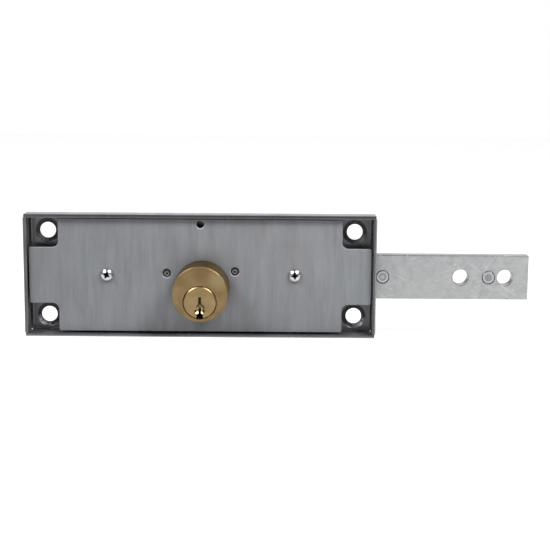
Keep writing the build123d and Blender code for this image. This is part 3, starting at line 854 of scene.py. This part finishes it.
# The plain steels have a dark and a light colour, and then their roughest and smoothest.
slot_finishes = {
    "case_steel": case_steel(),
    "cover_steel": cover_steel(),
    "bolt_steel": bolt_steel(),
    "pin_steel": plain_steel("pin_steel", rgb(104, 104, 106), rgb(134, 134, 136), 0.46, 0.32),
    "spring_steel": plain_steel("spring_steel", rgb(150, 150, 152), rgb(175, 175, 177), 0.32, 0.22),
    "screw_bright": plain_steel("screw_bright", rgb(196, 196, 198), rgb(216, 216, 218), 0.22, 0.16),
    "brass_body": body_brass(),
    "brass_plug": plug_brass(),
}
node_finishes = {
    "bolt_stop_pin": turned_pin_steel(
        "stop_pin_steel",
        "bolt_stop_pin",
        middle=rgb(168, 168, 170),
        face=rgb(184, 184, 186),
        groove_strength=0.8,
    ),
    "bolt_end_pin": turned_pin_steel(
        "end_pin_steel",
        "bolt_end_pin",
        middle=rgb(136, 137, 138),
        face=rgb(180, 181, 182),
        groove_strength=0.2,
    ),
}
for name in SCREWS:
    node_finishes[name] = screw_steel(name)
for name in STUDS:
    node_finishes[name] = stud_steel(name)
for name in nodes:
    if name.startswith("key_pin_"):
        node_finishes[name] = key_pin_steel(name)

for part in frame["record"]["subparts"]:
    mesh = nodes[part["node"]].data
    mesh.materials.clear()
    mesh.materials.append(node_finishes.get(part["node"]) or slot_finishes[part["material_slot"]])


# Stage: a pale floor that the lock stands on, the world, the softboxes and the camera

def grey(level):
    """A plain grey of a linear level."""
    return (level, level, level, 1.0)


def floor_material():
    """White where it is seen, with the object's shadow, and plain pale as a light source."""
    material = bpy.data.materials.new("floor_white")
    material.use_nodes = True
    shading = Shading(material.node_tree)
    shading.tree.nodes.clear()
    bounce = shading.add("ShaderNodeBsdfDiffuse")
    bounce.inputs["Color"].default_value = grey(FLOOR_BOUNCE)
    shade = shading.add("ShaderNodeBsdfDiffuse")
    shade.inputs["Color"].default_value = grey(FLOOR_SHADE)
    glow = shading.add("ShaderNodeEmission")
    glow.inputs["Strength"].default_value = FLOOR_GLOW
    seen = shading.add("ShaderNodeAddShader")
    shading.feed(seen.inputs[0], shade.outputs["BSDF"])
    shading.feed(seen.inputs[1], glow.outputs["Emission"])

    path = shading.add("ShaderNodeLightPath").outputs
    in_view = shading.largest(
        path["Is Camera Ray"], path["Is Glossy Ray"], path["Is Transmission Ray"]
    )
    surface = shading.add("ShaderNodeMixShader")
    shading.feed(surface.inputs["Fac"], in_view)
    shading.feed(surface.inputs[1], bounce.outputs["BSDF"])
    shading.feed(surface.inputs[2], seen.outputs["Shader"])
    output = shading.add("ShaderNodeOutputMaterial")
    shading.feed(output.inputs["Surface"], surface.outputs["Shader"])
    return material


def add_floor():
    """The floor, at the lowest point of the lock."""
    deselect_all()
    bpy.ops.mesh.primitive_plane_add(size=FLOOR_WIDTH, location=(0.0, 0.0, cad_box[0].z))
    floor = bpy.context.object
    floor.name = "floor"
    floor.data.materials.append(floor_material())


def build_world():
    """White behind the object, an even light on it, and a dim room and ceiling in reflections.

    The strength follows the direction: metal that faces the camera's side and the ceiling
    mirrors the dim room, and metal that is seen at a flat angle mirrors the white backdrop.
    """
    world = bpy.data.worlds.new("studio")
    bpy.context.scene.world = world
    world.use_nodes = True
    shading = Shading(world.node_tree)
    direction = shading.split(shading.add("ShaderNodeTexCoord").outputs["Generated"])
    room = shading.ramp(direction["Z"], 0.2, 0.8, at_low=ROOM_LEVEL, at_high=CEILING_LEVEL)
    backdrop = shading.ramp(direction["Y"], 0.05, 0.35)
    mirrored = shading.total(shading.product(room, shading.difference(1.0, backdrop)), backdrop)

    path = shading.add("ShaderNodeLightPath").outputs
    glossy = path["Is Glossy Ray"]
    not_glossy = shading.difference(1.0, glossy)
    lit = shading.total(shading.product(glossy, mirrored), shading.product(not_glossy, AMBIENT_LEVEL))
    clear = shading.largest(path["Is Camera Ray"], path["Is Transmission Ray"])
    background = shading.tree.nodes["Background"]
    background.inputs["Color"].default_value = grey(1.0)
    shading.feed(background.inputs["Strength"], shading.largest(lit, clear))


def add_softbox(name, place, watts):
    """A square soft light that points at the middle of the case."""
    deselect_all()
    bpy.ops.object.light_add(type="AREA", location=place)
    lamp = bpy.context.object
    lamp.name = name
    lamp.data.size = SOFTBOX_WIDTH
    lamp.data.energy = watts
    lamp.rotation_euler = (-Vector(place)).to_track_quat("-Z", "Y").to_euler()


def add_camera():
    """Camera at the photo's place, tilt and roll."""
    back = Vector((0.0, -cos(CAMERA_TILT), sin(CAMERA_TILT)))
    deselect_all()
    bpy.ops.object.camera_add(location=CAMERA_AIM + back * CAMERA_DISTANCE)
    camera = bpy.context.object
    camera.rotation_mode = "ZYX"
    camera.rotation_euler = (radians(90) - CAMERA_TILT, 0.0, CAMERA_ROLL)
    camera.data.lens = CAMERA_LENS
    camera.data.clip_start = CAMERA_NEAR
    bpy.context.scene.camera = camera


add_floor()
build_world()
for name, (place, watts) in SOFTBOXES.items():
    add_softbox(name, place, watts)
add_camera()
bpy.context.scene.view_settings.view_transform = "Standard"
